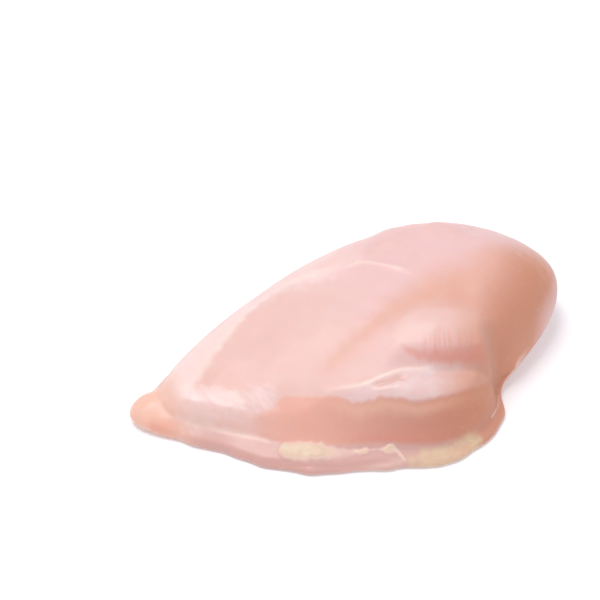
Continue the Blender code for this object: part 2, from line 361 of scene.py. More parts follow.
def top_height(x, y, inset, row):
    """The upper side: the lip's edge and top, then the wall and shoulder up to the crown."""
    rim, root = row[..., RIM_HEIGHT], row[..., ROOT]
    lip = np.clip(row[..., LIP], 1e-2, None)
    edge = quarter_round(inset / lip / LIP_EDGE)
    on_lip = rim + (root - rim) * (LIP_ROUND * edge + (1 - LIP_ROUND) * np.clip(inset / lip, 0, 1))
    share = np.clip(past_corner(inset - lip, lip) / row[..., SHOULDER], 0, 1)
    slant = WALL_SLANT * smooth_step(lip / FULL_LIP)
    rise = (1 - slant) * quarter_round(share) + slant * share * (2 - share)
    return on_lip + (crown(x, y) - root) * rise


print("Halfway up, a quarter circle has gone", round(1 - math.sqrt(0.75), 3), "of its way in")

# %% Round off the lower side
FILLET_BED = (2, 12, 52, 13, 10, 3.2)       # like a swelling: where the inner fillet has been taken off
BED_CUT = 0.8


def under_height(x, y, inset, row):
    """The lower side: level where it lies on the floor, rising to the rim."""
    bed = np.clip(swelling(x, y, *FILLET_BED) - BED_CUT, 0, None)
    return row[..., RIM_HEIGHT] * (1 - quarter_round(inset / row[..., UNDERCUT])) + bed


print("The bed below is", round((FILLET_BED[-1] - BED_CUT) * UNIT * 1000, 1), "mm deep")

# %% [markdown]
# ## Where the films, fat and creases lie
# Butchered meat has a map: a pale tendon that forks, a band of thin skin along the keel edge, a sheet
# of silvery film on the side muscle, cream fat on the outer edge. Each is a short path on the plan, and
# each becomes a mask, a number from 0 to 1 at every place. The same masks later give relief to the mesh
# and colour to the finish, so that an edge that catches the light is also the edge of a colour. Some
# masks carry painted light as well: sheen and highlights on the films, the band and the edges, and
# shade on the side that turns away from the light.
# Painting them as an image would be quicker, and it would never fit another shape.


# %% Masks from paths
def beside(x, y, points, soft):
    """1 on the left of a path, 0 on its right, with a soft border."""
    return smooth_step(0.5 + along_path(x, y, smooth_path(points))[0] / soft / 2)


def inside(x, y, points, soft):
    """1 inside a closed path, 0 outside, with a soft border."""
    ring = np.array(points + points[:1], float)
    gap = np.abs(along_path(x, y, ring)[0])
    crossings = 0
    for (ax, ay), (bx, by) in zip(ring[:-1], ring[1:]):
        spans = (ay > y) != (by > y)
        crossings = crossings + (spans & (x < ax + (bx - ax) * (y - ay) / (by - ay + 1e-12)))
    return smooth_step(0.5 + np.where(crossings % 2 == 1, gap, -gap) / soft / 2)


def on_path(x, y, points, width, fade):
    """1 on a path, falling off over the width and over this share of its length at both ends."""
    gap, share = along_path(x, y, smooth_path(points))
    return bell(gap, width) * smooth_step(share / fade) * smooth_step((1 - share) / fade)


def ribbon(x, y, points, widths, edge=3):
    """1 on a path whose half width changes along it, falling off past that width, with round ends."""
    gap, share = along_path(x, y, smooth_path(points))
    width = np.interp(share, np.linspace(0, 1, len(widths)), widths)
    return np.exp(-(np.abs(gap / width) ** edge))


beside_line = on_path(np.array(5.0), np.array(1.0), [(0, 0), (10, 0)], 2, 0.1)
print("Half a width beside it, a line keeps", round(float(beside_line), 2), "of its strength")

# %% [markdown]
# ## Unevenness
# A border that follows its formula exactly looks drawn. So the places where a mask is read are shifted
# by slow and quick waves. A class holds the places together with those waves, so that every mask bends
# in the same way and neighbouring borders stay in step. The seeds are fixed: the breast comes out the
# same each time.


# %% Uneven fields
def random_waves(x, y, size, seed, count=14):
    """A smooth uneven field of about -1 to 1, made of waves of one size that run in all directions."""
    draw = np.random.default_rng(seed)
    angle, phase = draw.uniform(0, 2 * math.pi, (2, count))
    stretch = draw.uniform(0.7, 1.4, count)
    waves = [np.cos(2 * math.pi / size * s * (x * math.cos(a) + y * math.sin(a)) + p)
             for a, p, s in zip(angle, phase, stretch)]
    return sum(waves) / math.sqrt(count / 2) / 2


class Places:
    """Places on the breast, with the rim's own row for each, and the fields that make borders uneven."""

    def __init__(self, x, y, inset, row):
        self.x, self.y, self.inset, self.lip = x, y, inset, row[..., LIP]
        self.slow = random_waves(x, y, 17, 12)
        self.coarse = random_waves(x, y, 5, 11)
        self.rag = 0.45 * self.coarse + 0.12 * random_waves(x, y, 1.9, 13)
        self.rag *= 1 - 0.6 * ramp(x, -5, 10)               # calmer towards the shoulder
        self.strands = random_waves(x - 0.36 * y, 0.1 * y, 1.9, 31)
        self.on_lip = smooth_step((self.lip - inset) / 2 + 0.5) * ramp(self.lip, 1, 3)


at_rim = Places(RIM[:, 0], RIM[:, 1], np.zeros(len(RIM)), RIM)
print("Along the rim, borders shift by up to", round(float(np.abs(at_rim.rag).max()), 2), "units")

# %% [markdown]
# ## Lines
# Most details are single lines: seams, folds, the tendon, the sheen along an edge. They differ only in
# their path, width, fade and raggedness, so a table holds them and one function makes them all.

# %% The lines at the tail
# Half width, fade at the ends, shares of the coarse and the ragged shift, and the points.
LINES = {
    "seam": (1.7, 0.15, 0, 0, [
        (-76.9, 3.5), (-74.2, -0.3), (-72.6, -2.4), (-69.6, -5.3), (-65.4, -8.0), (-61.5, -11.3),
        (-57.7, -13.8), (-53.0, -16.9), (-49.0, -19.9), (-45.6, -23.4), (-43.2, -27.0)]),
    "tail_sheen": (5.5, 0.22, 0.5, 0, [
        (-75, 4.5), (-70, 1.0), (-65, -1.6), (-59, -5.0), (-52, -8.2), (-45, -10.4), (-39, -11.0),
        (-34, -12.0)]),
    "low_tail_sheen": (3.6, 0.2, 0, 0, [(-74, 0), (-67, -5.5), (-59, -11), (-52, -16), (-46, -20)]),
    "knob_shade": (3.5, 0.2, 0, 0, [(-86, 0), (-80, -2), (-73, -6)]),
    "fold": (0.9, 0.12, 0, 0, [
        (-54, -26.6), (-51.8, -28.1), (-47.9, -30.4), (-43.9, -32.4), (-38.2, -35.6), (-28.2, -39.6),
        (-22.9, -41.0), (-15.7, -42.6), (-8.8, -44.4), (-3.6, -46.0)]),
}
print("Lines at the tail:", list(LINES))

# %% The lines farther up
LINES.update({
    "tendon": (1.2, 0.25, 0, 0.4, [
        (-2, 29.4), (4, 29.6), (10.5, 28.6), (15.6, 23.1), (21.3, 17.0), (26.3, 11.5)]),
    "crease": (2.4, 0.25, 0, 1, [
        (-24, -13), (-15, -8.6), (-8.2, -6.0), (-2.7, -4.1), (4.8, -1.2), (13.3, 2.7), (21.2, 5.3)]),
    "ridge": (1.3, 0.3, 0, 0.3, [
        (-22, -18), (-16, -20.6), (-10.0, -22.8), (-2.3, -23.2), (4.7, -23.4), (11.1, -24.2),
        (20.1, -24.8)]),
    "valley": (1.3, 0.25, 0, 0, [(-8, -25.0), (-1.4, -26.2), (2.6, -26.2), (6.3, -28.2)]),
    "lip_highlight": (1.5, 0.25, 0, 0, [(-30, -41.5), (-22, -43.4), (-14, -44.6), (-6, -45.6), (4, -46.6)]),
    "end_line": (0.5, 0.15, 0, 0, [
        (44.4, -27.0), (43.2, -30.2), (41.4, -33.6), (38.0, -37.0), (34.7, -39.4)]),
})


def line_masks(at):
    """Every mask of the table."""
    made = {}
    for name, (width, fade, coarse, rag, points) in LINES.items():
        made[name] = on_path(at.x, at.y + coarse * at.coarse + rag * at.rag, points, width, fade)
    return made


print("In all there are", len(line_masks(at_rim)), "lines")

# %% [markdown]
# ## The side muscle
# Its steep outer wall is bare and warm, and painted shade darkens it towards the right. Above the wall
# lies a sheet of silvery film, torn along its upper edge, where the flesh of the step shows red and
# frays into strands. The wall's top edge is the longest path of all, so the wall, its brow with a
# painted highlight, its dark foot and the film are all measured from it.

# %% The wall and the film
WALL_TOP = [(-80, 4), (-75.2, 1.3), (-72.7, -0.8), (-69.8, -1.5), (-66.0, -4.2), (-62.3, -7.1),
            (-58.1, -9.6), (-53.7, -11.4), (-49.4, -12.4), (-45.5, -14.5), (-41.8, -15.0),
            (-39.5, -14.0), (-36.5, -13.2), (-31.2, -15.6), (-26.1, -18.6), (-21.6, -21.1),
            (-17.0, -24.2), (-13.7, -26.8), (-9.8, -28.4), (-6.3, -29.5), (-0.8, -31.9), (4.7, -34.6),
            (9.1, -36.1), (16.6, -37.0), (24.8, -36.7), (32.1, -34.4), (38.5, -30.2), (44, -24)]
FILM_TOP = [(-34, -11), (-24, -16), (-18.3, -19.5), (-10.0, -22.8), (-2.3, -23.0), (4.7, -22.8),
            (11.1, -23.6), (20.1, -24.4), (27.2, -26.0), (32.9, -27.2), (42, -27.4)]


def wall_masks(at):
    """The wall with its brow and foot, and the film above it."""
    gap = along_path(at.x, at.y + at.rag, smooth_path(WALL_TOP, 120))[0]
    above = smooth_step(0.5 + gap / (1.2 + 2.5 * ramp(at.x, -45, -65)))
    wall = (1 - above) * (1 - at.on_lip) * ramp(at.x, 50, 42)
    film = above * (1 - beside(at.x, at.y, FILM_TOP, 0.8))
    return {
        "wall": wall * (0.25 + 0.75 * ramp(at.x, -62, -32)),
        "film": film * ramp(at.x, -28, -10) * ramp(at.x, 44, 30),
        "brow": bell(gap + 1.6, 1.4) * ramp(at.x, -30, -10),
        "foot": bell(at.inset - at.lip - 0.8, 1.8) * (1 - at.on_lip) * ramp(at.x, -30, 0),
    }


print("The wall's top edge has", len(WALL_TOP), "points, the film's has", len(FILM_TOP))

# %% The step's red recess and the smooth patch above it
RECESS = [(6.0, -15.2), (8.2, -15.9), (10.5, -18.0), (14, -20.7), (19, -22.8), (24, -24.4), (28, -25.1),
          (33, -26.4), (40, -26.6)]
FRINGE = [(14, -17.6), (20.8, -20.4), (26.7, -21.6), (31.3, -23.6), (35, -24.4)]
SHEEN_PATCH = [(7.7, -10), (9.0, -6.2), (15.6, -3.9), (20.2, -4.3), (26.9, -7.3), (33.6, -10.5),
         (38.2, -13.8), (41.1, -17.5), (39.4, -23.0), (35, -24.6), (28.3, -23.0), (21.1, -20.9),
         (11.7, -16.6), (6.7, -13.7)]
GLINT_NICKS = [[(50.8, 7.4), (51.9, 3.6), (52.0, 1.4)], [(51.8, 0.8), (53.1, -1.2), (54.8, -2.3)],
         [(20.8, -5.8), (22.8, -9.8), (26.4, -8.8)], [(26.8, -9.4), (30.4, -8.9), (32.0, -11)]]


def step_masks(at):
    """The recess with its frayed edge, the patch of thin film with a painted highlight, and small nicks
    with painted glints.
    """
    frayed = at.y + 0.5 * at.coarse + 0.25 * at.strands
    return {
        "recess": on_path(at.x, frayed, RECESS, 1.6, 0.16),
        "fringe": on_path(at.x, at.y, FRINGE, 3.2, 0.15) * smooth_step(0.4 + at.strands),
        "patch": inside(at.x + at.rag, at.y + 1.5 * at.rag, SHEEN_PATCH, 2.4),
        "nick": sum(on_path(at.x, at.y, nick, 0.6, 0.3) for nick in GLINT_NICKS),
    }


print("The recess follows", len(RECESS), "points, beside", len(GLINT_NICKS), "nicks")

# %% [markdown]
# ## Broad areas
# The band of thin skin starts at the tail and runs up the keel side, weaker towards the shoulder, with
# a light line on its inner edge; part of its paleness is a painted highlight where the edge faces the
# light. Peach shows where the flesh is thick and bare. Brown lies where it turns away at the right,
# partly the flesh's own colour and partly painted shade.

# %% The band along the keel
BAND_EDGE = [(-80, -6), (-72.4, 0.1), (-62, 8.4), (-56, 13.8), (-50.2, 18.1), (-43.2, 23.4),
             (-34.8, 29.6), (-27.4, 33.4), (-20.3, 35.4), (-13.9, 34.6), (-7.4, 32.4), (1.6, 29.6),
             (9.0, 28.5), (13.0, 33), (17, 40), (26, 48), (36, 56)]


def band_masks(at):
    """The band, the line on its edge, and a painted sheen where the edge bulges."""
    gap = along_path(at.x, at.y + at.rag, smooth_path(BAND_EDGE))[0]
    band = smooth_step(0.5 + gap / 4) * ramp(at.x, -79, -67) * ramp(at.inset + 1.5 * at.slow, 1, 10)
    shoulder = ramp(at.x + 4 * at.coarse + 0.4 * at.y, 16, 40)
    band = band * (1 - 0.5 * ramp(at.x, -40, -10)) * (1 - 0.6 * shoulder)
    line = bell(gap - 1, 1.6) * ramp(at.x, -70, -54) * ramp(at.x, 6, -8)
    return {
        "band": band,
        "band_line": line * (0.75 + 0.5 * at.coarse),
        "glaze": bell(at.x + 12, 14) * bell(gap + 1 + at.coarse, 4),
    }


print("The band's edge has", len(BAND_EDGE), "points")

# %% Peach, brown and the edges
PEACH_AREA = [(-19, -11.4), (-8, -6.6), (-2.7, -4.0), (4.8, -1.0), (13.3, 3.2), (21.2, 6.0),
              (30.1, 9.6), (43, 9.6), (55, 11), (66, 10.6), (76, 9), (92, 8), (92, -24), (60, -40),
              (44, -26), (44, -18), (38, -13), (33, -10), (26.9, -7), (20.2, -4.2), (15.6, -3.8),
              (10, -4.8), (3, -6.0), (-5, -8.4)]
WARM_SHELF = [(-66, 8), (-60.9, 5.4), (-54.5, 1.2), (-48, -2.8), (-40, -5)]
BROWN = [(6, -66), (32, -38), (41, -28), (48.4, -21.7), (60.2, -13.3), (66.2, -7.5), (71.7, -0.7),
         (76, 8), (77, 20), (74, 34)]


def area_masks(at):
    """The broad colours with the brown partly painted shade, the knob, and the edges at the shoulder,
    whose pale rim is partly a painted reflection.
    """
    shelf = on_path(at.x, at.y + 2 * at.coarse, WARM_SHELF, 4, 0.3)
    lobe_edge = bell(at.inset, 0.13) * ramp(at.x, 46, 50) * ramp(at.x, 64, 54)
    return {
        "peach": inside(at.x, at.y + at.rag, PEACH_AREA, 8) + 0.35 * shelf,
        "brown": on_path(at.x + 2 * at.coarse, at.y + 2 * at.coarse, BROWN, 15, 0.3),
        "knob": ramp(at.x + at.coarse, -67, -81),
        "rim": ramp(at.inset, 5, 0) * ramp(at.x, 62, 76),
        "lobe_edge": lobe_edge * (at.y < 0),
        "on_lip": at.on_lip,
    }


print("Peach fills a ring of", len(PEACH_AREA), "points")

# %% [markdown]
# ## Fat
# Fat lies at the wall's foot like something squeezed from a tube: thick, then thin, then a last torn
# tuft. A ribbon whose width changes along its path gives just that. On the lip a flatter, yellower
# layer is left.

# %% The fat
# Points of each ribbon, its half widths at even steps along it, and its strength.
FAT_BLOB = [(-41.5, -28.4), (-39, -29.6), (-35, -31.4), (-28.6, -34.2), (-22, -36.6), (-14.5, -38.4)]
FAT_BLOB_WIDTHS = (2.6, 3.3, 3.2, 3.1, 2.6, 2.4, 2.0, 1.3)
FAT_TAIL = [(-17, -37.6), (-13, -38.6), (-9, -39.6), (-5, -40.6)]
FAT_TAIL_WIDTHS = (0.8, 0.9, 0.5, 0.7)
FAT_TUFT = [(-7.0, -40.6), (-4.6, -41.2), (-3.0, -43.2), (-2.0, -46.0)]
FAT_TUFT_WIDTHS = (1.1, 1.5, 1.0, 0.7)
LIP_FAT = [(-6, -46.4), (-0.2, -46.9), (6.9, -48.2), (14.6, -48.8), (20.9, -47.8), (25.8, -46.2),
           (30.0, -44.2), (34, -41)]


def fat_masks(at):
    """The fat at the wall's foot, and the fat on the lip."""
    blob = ribbon(at.x + 0.4 * at.coarse, at.y + 0.8 * at.rag, FAT_BLOB, FAT_BLOB_WIDTHS)
    tail = ribbon(at.x, at.y + at.rag, FAT_TAIL, FAT_TAIL_WIDTHS, 2)
    tuft = ribbon(at.x + 0.3 * at.coarse, at.y + at.rag, FAT_TUFT, FAT_TUFT_WIDTHS, 2)
    fat = blob * (1 - 0.6 * ramp(at.x, -33, -21)) + 0.4 * tail + 0.6 * tuft
    lip_fat = on_path(at.x + 2 * at.coarse, at.y, LIP_FAT, 4.0 + at.coarse, 0.35)
    return {"fat": np.clip(fat, 0, 1), "lip_fat": lip_fat * ramp(at.inset - at.lip, 1.6, -1)}


print("The widest fat is", 2 * max(FAT_BLOB_WIDTHS), "units wide")

# %% All masks together
MASK_MAKERS = (line_masks, wall_masks, step_masks, band_masks, area_masks, fat_masks)


def masks(at):
    """The share of each finish at each place."""
    return {name: mask for maker in MASK_MAKERS for name, mask in maker(at).items()}


MASKS = list(masks(at_rim))
print(len(MASKS), "masks:", ", ".join(MASKS))

# %% [markdown]
# ## The fine relief
# These heights are added to the form: the seam between strip and wall, the thickness of the films, the
# lumps of fat and a slow unevenness, because no muscle is as smooth as its formula. They are real
# geometry, not bump, so that the mesh itself shows them.

# %% Relief from the masks
# What a mask adds to the height where it is 1, in units.
RELIEF = {"ridge": 0.5, "valley": -0.7, "recess": -0.4, "fringe": -0.2, "fold": -0.5, "nick": 0.12,
          "tendon": 0.3, "end_line": 0.3, "crease": -0.12}
FILM_THICKNESS = 0.35
BAND_THICKNESS = 0.3                        # as a share of the film's
SEAM_DEPTH = 0.4
SLITS = [[(11, -28), (14.5, -28.4), (19, -27.6)], [(23, -31.4), (26, -30.8), (30, -31.6)]]
SLIT_DEPTH = 0.5
FAT_HEIGHT = 0.95
FAT_LUMPS = (4.5, 0.12, 21)                 # size, height and seed
SLOW_WAVES = [(26, 0.35, 3), (11, 0.12, 4)]
KNOB_DOME = (-82.5, 8.0, 6.5, 5.2, 0, 1.7)  # like a swelling


def relief(at, mask):
    """What is added to the height of the upper side."""
    rise = sum(height * random_waves(at.x, at.y, size, seed) for size, height, seed in SLOW_WAVES)
    rise = rise * smooth_step(at.inset / 14)
    rise = rise + FILM_THICKNESS * (mask["film"] + BAND_THICKNESS * mask["band"] * ramp(at.x, 30, 10))
    rise = rise + sum(height * mask[name] for name, height in RELIEF.items())
    rise = rise - SLIT_DEPTH * sum(on_path(at.x, at.y, slit, 0.6, 0.25) for slit in SLITS)
    seam = bell(at.inset - at.lip - 0.4, 1.1) * smooth_step(at.lip / 3 - 0.5)
    rise = rise - SEAM_DEPTH * seam * ramp(at.x, -36, -46)
    size, height, seed = FAT_LUMPS
    lumps = 1 + height * random_waves(at.x, at.y, size, seed)
    rise = rise + FAT_HEIGHT * smooth_step(mask["fat"] * 1.5 - 0.3) * lumps
    rise = rise + swelling(at.x, at.y, *KNOB_DOME)
    return rise * smooth_step(at.inset / 1.5)


print("The highest relief is the knob's dome,", round(KNOB_DOME[-1] * UNIT * 1000, 2), "mm")

# %% [markdown]
# ## The mesh
# A grid of squares is mapped onto the outline: the square's border becomes the rim, its rings become
# rings of the breast. A polar grid would bunch hundreds of faces at one point; this map spreads them
# evenly. The upper and the lower side are two such grids that share the rim. Each ring is placed by
# length along the section, so that steep walls get as many faces as level ground.


# %% From a square to the outline
def square_to_disc(u, v):
    """A square's coordinates from -1 to 1, as a radius from 0 to 1 and a share of a full turn."""
    wide = np.abs(u) >= np.abs(v)
    radius = np.where(wide, np.abs(u), np.abs(v))
    safe = np.where(radius == 0, 1, np.where(wide, u, v))
    eighth = np.where(wide, v, u) / safe / 8
    turn = np.where(wide, eighth + (u < 0) / 2, 0.25 - eighth + (v < 0) / 2)
    return radius, turn % 1


radius, turn = square_to_disc(np.array([1.0]), np.array([1.0]))
print("The square's corner goes to radius", float(radius[0]), "at", float(turn[0]), "of a turn")

# %% Equal steps up a section
PROFILE_SAMPLES = 260
PROFILE_BUNCHING = 1.5                      # over 1, the first samples lie closer together near the rim


def insets_by_length(height):
    """For each section, the share of the way to the centre at equal steps along the surface."""
    span = np.linalg.norm(RIM[:, :2] - CENTRE, axis=1)[:, None]
    share = np.linspace(0, 1, PROFILE_SAMPLES)[None, :] ** PROFILE_BUNCHING
    inset = span * share
    place = RIM[:, None, :2] + (CENTRE - RIM[:, None, :2]) * share[..., None]
    z = height(place[..., 0], place[..., 1], inset, RIM[:, None, :])
    step = np.hypot(np.diff(inset, axis=1), np.diff(z, axis=1))
    walked = np.concatenate([np.zeros((len(RIM), 1)), np.cumsum(step, 1)], 1)
    walked /= walked[:, -1:]
    even = np.linspace(0, 1, PROFILE_SAMPLES)
    return np.stack([np.interp(even, w, s) for w, s in zip(walked, inset / span)])


def sheet_places(u, v, height):
    """x, y, the inset from the rim and the rim's own row for a grid's coordinates."""
    radius, turn = square_to_disc(u, v)
    table = insets_by_length(height)
    column = (1 - radius) * (PROFILE_SAMPLES - 1)
    line = turn * len(RIM)
    i, j = line.astype(int) % len(RIM), np.minimum(column.astype(int), PROFILE_SAMPLES - 2)
    a, b = line - line.astype(int), column - j
    k = (i + 1) % len(RIM)
    share = (1 - a) * ((1 - b) * table[i, j] + b * table[i, j + 1])
    share += a * ((1 - b) * table[k, j] + b * table[k, j + 1])
    row = catmull_rom(RIM, line.astype(int), a)
    place = row[:, :2] + (CENTRE - row[:, :2]) * share[:, None]
    inset = np.linalg.norm(row[:, :2] - CENTRE, axis=1) * share
    return place[:, 0], place[:, 1], inset, row


print("Each section is walked in", PROFILE_SAMPLES, "samples")

# %% Lay the two grids
GRID_CELLS = 216
MASK_TURN = 4                               # how far below the rim the masks fade out on the lower side


def lay_grid(bm, height, upward, layers):
    """A grid primitive moved onto the upper or lower side, with its masks in the vertex layers."""
    made = bmesh.ops.create_grid(bm, x_segments=GRID_CELLS, y_segments=GRID_CELLS, size=1)["verts"]
    grid = np.array([vert.co for vert in made])
    x, y, inset, row = sheet_places(grid[:, 0], grid[:, 1], height)
    at = Places(x, y, inset, row)
    mask = masks(at)
    z = height(x, y, inset, row)
    if upward:
        z = z + relief(at, mask)
    else:
        mask = {name: value * np.clip(1 - inset / MASK_TURN, 0, 1) for name, value in mask.items()}
    places = np.column_stack([(x - MIDDLE[0]) * UNIT, (y - MIDDLE[1]) * UNIT, z * UNIT])
    for vert, place in zip(made, places):
        vert.co = place
    for name, layer in layers.items():
        for vert, value in zip(made, mask[name]):
            vert[layer] = value
    if not upward:
        faces = {face for vert in made for face in vert.link_faces}
        bmesh.ops.reverse_faces(bm, faces=list(faces))


bm = bmesh.new()
layers = {name: bm.verts.layers.float.new(name) for name in MASKS}
lay_grid(bm, top_height, True, layers)
lay_grid(bm, under_height, False, layers)
print("The two grids have", len(bm.verts), "vertices")

# %% Sew the rim
bmesh.ops.remove_doubles(bm, verts=bm.verts, dist=1e-6)
open_edges = sum(not edge.is_manifold for edge in bm.edges)
print("It holds", round(bm.calc_volume(signed=True) * 1e6), "cubic centimetres")
mesh = bpy.data.meshes.new("breast_flesh")
bm.to_mesh(mesh)
bm.free()
mesh.shade_smooth()
breast = put_in_scene("breast_flesh", mesh)
print("The mesh has", len(mesh.polygons), "faces and", open_edges, "open edges")

# %% [markdown]
# ## Fibres, wrinkles and lumps
# Fine relief that repeats is made by Geometry Nodes. Muscle fibres fan out from the shoulder, so each
# vertex first gets its place along and across the fan. The tree then pushes the surface in and out
# along its own normal with noise: long and narrow along the fibres, short wrinkles on the film's edge
# at the tail, ragged strands above the step, and lumps in the fat. A bump map would be cheaper, but it
# would vanish from the mesh and from the outline.

# %% Give the mesh its fibre directions
FIBRE_POLE = (112, 40)                      # where the fibres meet, beyond the shoulder, in units

co = np.empty(len(mesh.vertices) * 3)
mesh.vertices.foreach_get("co", co)
co = co.reshape(-1, 3) / UNIT
away = co[:, :2] + MIDDLE - FIBRE_POLE
reach = np.linalg.norm(away, axis=1)
across = np.arctan2(-away[:, 1], -away[:, 0]) * reach.mean()
fibre = mesh.attributes.new("fibre", "FLOAT_VECTOR", "POINT")
fibre.data.foreach_set("vector", np.column_stack([reach, across, co[:, 2]]).ravel())
print("The fibres are", round(float(np.ptp(reach)), 1), "units long at most")

# %% Name the tree's inputs
SURFACE_INPUTS = {
    "Fibre Height": 0.05, "Fibre Spacing": 1.7, "Wrinkle Height": 0.8, "Wrinkle Spacing": 3.4,
    "Strand Height": 0.36, "Strand Spacing": 1.8, "Lump Height": 0.16, "Lump Spacing": 3.0, "Seed": 7.0,
}
# Squeezes along the fibres, across them and up, then the detail, and the mask that the grain keeps to.
GRAINS = {
    "Fibre": ((0.12, 1, 1), 2.0, None),
    "Wrinkle": ((1, 0.3, 1), 2.0, "tail_sheen"),
    "Strand": ((1, 0.25, 1), 3.0, "fringe"),
    "Lump": ((1, 1, 1), 3.0, "fat"),
}
print("The tree will have", len(SURFACE_INPUTS), "named inputs and", len(GRAINS), "kinds of grain")


# %% A maker of nodes
class Maker:
    """Adds nodes to a Geometry Nodes tree: a type, its settings, then its sockets' values or links."""

    def __init__(self, tree):
        self.tree = tree

    def node(self, kind, settings=None, values=None, out=0):
        node = self.tree.nodes.new(kind)
        for name, setting in (settings or {}).items():
            setattr(node, name, setting)
        for key, value in (values or {}).items():
            if isinstance(value, bpy.types.NodeSocket):
                self.tree.links.new(value, node.inputs[key])
            else:
                node.inputs[key].default_value = value
        return node.outputs[out]

    def math(self, operation, a, b):
        return self.node("ShaderNodeMath", {"operation": operation}, {0: a, 1: b})

    def vector(self, operation, a, b):
        return self.node("ShaderNodeVectorMath", {"operation": operation}, {0: a, 1: b})

    def attribute(self, name, kind="FLOAT"):
        return self.node("GeometryNodeInputNamedAttribute", {"data_type": kind}, {"Name": name})

    def grain(self, fan, stretch, detail, spacing, height, mask):
        """Noise in the fan's coordinates, times its height and its mask."""
        values = {"Vector": self.vector("MULTIPLY", fan, stretch), "Detail": detail,
                  "Scale": self.math("DIVIDE", 1.0, spacing)}
        even = self.math("SUBTRACT", self.node("ShaderNodeTexNoise", {}, values), 0.5)
        return self.math("MULTIPLY", self.math("MULTIPLY", even, height), mask)


print("A maker of nodes knows", [name for name in vars(Maker) if not name.startswith("_")])


# %% Build the tree
def surface_tree(material):
    """The tree that pushes the surface along its normal."""
    tree = bpy.data.node_groups.new("flesh_surface", "GeometryNodeTree")
    face = tree.interface
    face.new_socket("Geometry", in_out="INPUT", socket_type="NodeSocketGeometry")
    face.new_socket("Geometry", in_out="OUTPUT", socket_type="NodeSocketGeometry")
    for name in SURFACE_INPUTS:
        face.new_socket(name, in_out="INPUT", socket_type="NodeSocketFloat")
    make = Maker(tree)
    given = tree.nodes.new("NodeGroupInput").outputs
    fan = make.vector("ADD", make.attribute("fibre", "FLOAT_VECTOR"), given["Seed"])
    total = 0.0
    for name, (stretch, detail, mask) in GRAINS.items():
        mask = make.attribute(mask) if mask else 1.0
        one = make.grain(fan, stretch, detail, given[name + " Spacing"], given[name + " Height"], mask)
        total = make.math("ADD", total, one)
    push = {0: make.node("GeometryNodeInputNormal"), "Scale": make.math("MULTIPLY", total, UNIT)}
    offset = make.node("ShaderNodeVectorMath", {"operation": "SCALE"}, push)
    moved = make.node("GeometryNodeSetPosition", {}, {"Geometry": given["Geometry"], "Offset": offset})
    real = make.node("GeometryNodeRealizeInstances", {}, {"Geometry": moved})
    done = make.node("GeometryNodeSetMaterial", {}, {"Geometry": real, "Material": material})
    tree.links.new(done, tree.nodes.new("NodeGroupOutput").inputs["Geometry"])
    print("The surface tree has", len(tree.nodes), "nodes")
    return tree


print("The tree will add", ", ".join(GRAINS).lower(), "grain")

# %% [markdown]
# ## Shader maths as Python
# A material that is worked out from masks needs a lot of arithmetic. Wiring it by hand hides the
# thought, so a small class wraps an output socket and turns plus, minus and times into Math nodes, also
# with a number on the left. Colours go through Mix nodes, because a Math node would turn them grey.


# %% A socket in an expression
class Wire:
    """An output socket that can stand in a Python expression."""

    def __init__(self, finish, socket):
        self.finish = finish
        self.socket = socket

    def __add__(self, other):
        return self.finish.math("ADD", self, other)

    def __radd__(self, other):
        return self.finish.math("ADD", other, self)

    def __sub__(self, other):
        return self.finish.math("SUBTRACT", self, other)

    def __rsub__(self, other):
        return self.finish.math("SUBTRACT", other, self)

    def __mul__(self, other):
        return self.finish.math("MULTIPLY", self, other)

    def __rmul__(self, other):
        return self.finish.math("MULTIPLY", other, self)


print("A wire knows", [name for name in vars(Wire) if name.endswith(("add__", "sub__", "mul__"))])


# %% A material and its nodes
class Finish:
    """One material, its node tree, and the colour that is built up so far."""

    def __init__(self, name, colour=None):
        self.material = bpy.data.materials.new(name)
        self.material.use_nodes = True
        self.tree = self.material.node_tree
        self.shader = self.tree.nodes["Principled BSDF"]
        self.colour = colour

    def join(self, value, socket):
        """Sets a socket to a number or colour, or links a wire to it."""
        if isinstance(value, Wire):
            self.tree.links.new(value.socket, socket)
        else:
            socket.default_value = value

    def node(self, kind, settings=None, values=None, out=0):
        """Adds any node: its type, its settings, then the values or links of its sockets."""
        node = self.tree.nodes.new(kind)
        for name, setting in (settings or {}).items():
            setattr(node, name, setting)
        for key, value in (values or {}).items():
            self.join(value, node.inputs[key])
        return Wire(self, node.outputs[out])

    def set(self, **values):
        """Sets the shader's own sockets; an underscore stands for a space."""
        for name, value in values.items():
            self.join(value, self.shader.inputs[name.replace("_", " ")])

    def math(self, operation, a, b):
        return self.node("ShaderNodeMath", {"operation": operation}, {0: a, 1: b})

    def stretch(self, vector, factors):
        return self.node("ShaderNodeVectorMath", {"operation": "MULTIPLY"}, {0: vector, 1: factors})

    def mix(self, a, b, share):
        """Colour a where share is 0 and colour b where it is 1."""
        return self.node("ShaderNodeMix", {"data_type": "RGBA"}, {0: share, 6: a, 7: b}, 2)

    def veil(self, colour, share):
        """Lays a colour over the colour so far, where share is more than 0."""
        self.colour = self.mix(self.colour, colour, share)

    def step(self, value, low, high):
        """0 below low, 1 above high, smooth between."""
        settings = {"interpolation_type": "SMOOTHSTEP"}
        values = {"Value": value, "From Min": low, "From Max": high}
        return self.node("ShaderNodeMapRange", settings, values)

    def mask(self, name):
        """A number that the mesh carries."""
        return self.node("ShaderNodeAttribute", {"attribute_name": name}, {}, "Fac")

    def noise(self, vector, scale, detail=2.0, rough=0.5):
        values = {"Vector": vector, "Scale": scale, "Detail": detail, "Roughness": rough}
        return self.node("ShaderNodeTexNoise", {}, values)


print("A finish knows", [name for name in vars(Finish) if not name.startswith("_")])
